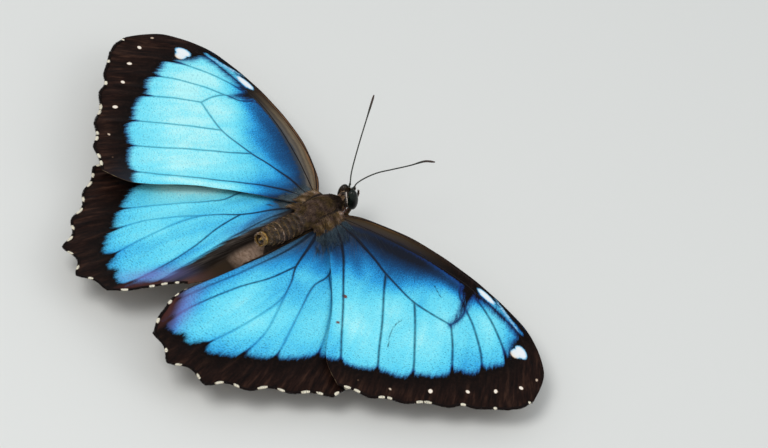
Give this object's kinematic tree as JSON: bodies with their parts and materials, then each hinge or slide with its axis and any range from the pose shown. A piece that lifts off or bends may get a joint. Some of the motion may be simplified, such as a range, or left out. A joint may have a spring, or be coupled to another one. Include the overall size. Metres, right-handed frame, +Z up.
{
  "type": "butterfly",
  "caption": "Still, life-size butterfly standing with its large wings spread flat, its hindwings folded into a trough for the abdomen, and its clubbed feelers raised.",
  "frame": {"origin": "middle of the footprint box, on the surface the legs stand on", "axes": "+X to the insect's right, along the wingspan; +Y toward its head; +Z up"},
  "size_m": [0.1338, 0.0828, 0.0248],
  "materials": {
    "wing": "satin",
    "hair": "matte",
    "cuticle": "satin",
    "eye": "gloss",
    "tongue": "satin"
  },
  "bodies": {
    "root": {"thorax": "hair", "abdomen": "hair", "head": "hair", "proboscis": "tongue", "claspers": "cuticle", "eye_left": "eye", "antenna_left": "cuticle", "palp_left": "hair", "forewing_left": "wing", "hindwing_left": "wing", "foreleg_left": "cuticle", "midleg_left": "cuticle", "hindleg_left": "cuticle", "eye_right": "eye", "antenna_right": "cuticle", "palp_right": "hair", "forewing_right": "wing", "hindwing_right": "wing", "foreleg_right": "cuticle", "midleg_right": "cuticle", "hindleg_right": "cuticle"}
  },
  "joints": []
}
